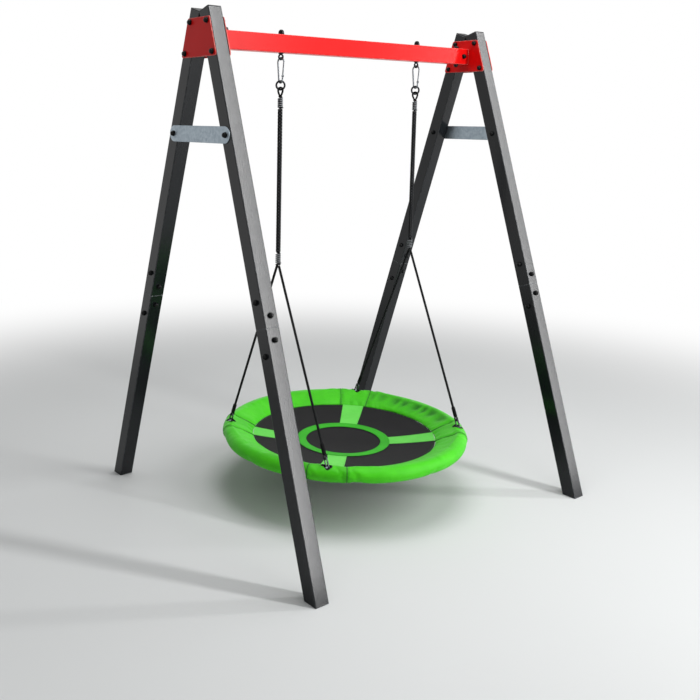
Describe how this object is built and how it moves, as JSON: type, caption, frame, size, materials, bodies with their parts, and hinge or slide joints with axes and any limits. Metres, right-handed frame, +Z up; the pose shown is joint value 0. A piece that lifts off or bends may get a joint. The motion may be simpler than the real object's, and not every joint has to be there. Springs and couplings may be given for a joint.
{
  "type": "nest swing set",
  "caption": "Free-standing swing frame of two tube A-frames and a beam, with a round padded nest seat on two ropes that part in two.",
  "frame": {"origin": "on the ground, in the middle of the four feet", "axes": "+X along the beam from the left to the right A-frame, +Y to the rear, +Z up"},
  "size_m": [1.5722, 1.4186, 2.0215],
  "materials": {
    "graphite_powder_coat": "fine textured powder coat",
    "red_powder_coat": "satin powder coat",
    "galvanised_steel": "satin",
    "zinc_steel": "satin",
    "black_hardware": "gloss",
    "black_plastic": "gloss",
    "black_rope": "braided",
    "lime_fabric": "coated woven",
    "black_mesh_fabric": "woven mesh"
  },
  "bodies": {
    "frame": {"upper_leg_left_front": "graphite_powder_coat", "lower_leg_left_front": "graphite_powder_coat", "splice_sleeve_left_front": "black_hardware", "leg_top_cap_left_front": "black_plastic", "upper_leg_left_rear": "graphite_powder_coat", "lower_leg_left_rear": "graphite_powder_coat", "splice_sleeve_left_rear": "black_hardware", "leg_top_cap_left_rear": "black_plastic", "outer_plate_left": "red_powder_coat", "inner_plate_left": "red_powder_coat", "brace_strap_left": "galvanised_steel", "plate_bolt_left_1": "black_hardware", "plate_bolt_left_2": "black_hardware", "plate_bolt_left_3": "black_hardware", "plate_bolt_left_4": "black_hardware", "eyebolt_left": "black_hardware", "eyebolt_nut_left": "black_plastic", "upper_leg_right_front": "graphite_powder_coat", "lower_leg_right_front": "graphite_powder_coat", "splice_sleeve_right_front": "black_hardware", "leg_top_cap_right_front": "black_plastic", "upper_leg_right_rear": "graphite_powder_coat", "lower_leg_right_rear": "graphite_powder_coat", "splice_sleeve_right_rear": "black_hardware", "leg_top_cap_right_rear": "black_plastic", "outer_plate_right": "red_powder_coat", "inner_plate_right": "red_powder_coat", "brace_strap_right": "galvanised_steel", "plate_bolt_right_1": "black_hardware", "plate_bolt_right_2": "black_hardware", "plate_bolt_right_3": "black_hardware", "plate_bolt_right_4": "black_hardware", "eyebolt_right": "black_hardware", "eyebolt_nut_right": "black_plastic", "crossbeam": "red_powder_coat"},
    "left_hook": {"snap_hook_left": "zinc_steel"},
    "left_gate": {"hook_gate_left": "zinc_steel"},
    "left_hanger": {"hanger_ring_left": "black_hardware", "thick_rope_left": "black_rope", "upper_whipping_left": "black_rope", "lower_whipping_left": "black_rope", "thin_rope_left_front": "black_rope", "seat_link_left_front": "zinc_steel", "thin_rope_left_rear": "black_rope", "seat_link_left_rear": "zinc_steel"},
    "right_hook": {"snap_hook_right": "zinc_steel"},
    "right_gate": {"hook_gate_right": "zinc_steel"},
    "right_hanger": {"hanger_ring_right": "black_hardware", "thick_rope_right": "black_rope", "upper_whipping_right": "black_rope", "lower_whipping_right": "black_rope", "thin_rope_right_front": "black_rope", "seat_link_right_front": "zinc_steel", "thin_rope_right_rear": "black_rope", "seat_link_right_rear": "zinc_steel"},
    "seat": {"seat_ring": "galvanised_steel", "padded_cover": "lime_fabric", "seat_mat": "black_mesh_fabric"}
  },
  "joints": [
    {"name": "swing_left", "type": "hinge", "parent": "frame", "child": "left_hook", "pos_m": [-0.385, 0, 1.84795], "axis": [1, 0, 0], "range_deg": [-45, 45]},
    {"name": "swing_right", "type": "hinge", "parent": "frame", "child": "right_hook", "pos_m": [0.385, 0, 1.84795], "axis": [1, 0, 0], "range_deg": [-45, 45]},
    {"name": "sway_left", "type": "hinge", "parent": "left_hook", "child": "left_hanger", "pos_m": [-0.385, 0, 1.7575], "axis": [0, 1, 0], "range_deg": [-5, 5]},
    {"name": "sway_right", "type": "hinge", "parent": "right_hook", "child": "right_hanger", "pos_m": [0.385, 0, 1.7575], "axis": [0, 1, 0], "range_deg": [-5, 5]},
    {"name": "seat_level", "type": "hinge", "parent": "left_hanger", "child": "seat", "pos_m": [-0.385, 0, 0.2755], "axis": [0, 1, 0], "range_deg": [-5, 5]},
    {"name": "gate_left", "type": "hinge", "parent": "left_hook", "child": "left_gate", "pos_m": [-0.385, -0.01283, 1.78384], "axis": [-1, 0, 0], "range_deg": [0, 25], "stiffness_Nm_per_rad": 0.05, "springref_deg": -17.19},
    {"name": "gate_right", "type": "hinge", "parent": "right_hook", "child": "right_gate", "pos_m": [0.385, -0.01283, 1.78384], "axis": [-1, 0, 0], "range_deg": [0, 25], "stiffness_Nm_per_rad": 0.05, "springref_deg": -17.19}
  ],
  "couplings": [
    {"joint": "swing_right", "follows": "swing_left", "ratio": 1},
    {"joint": "sway_right", "follows": "sway_left", "ratio": 1},
    {"joint": "seat_level", "follows": "sway_left", "ratio": -1}
  ]
}
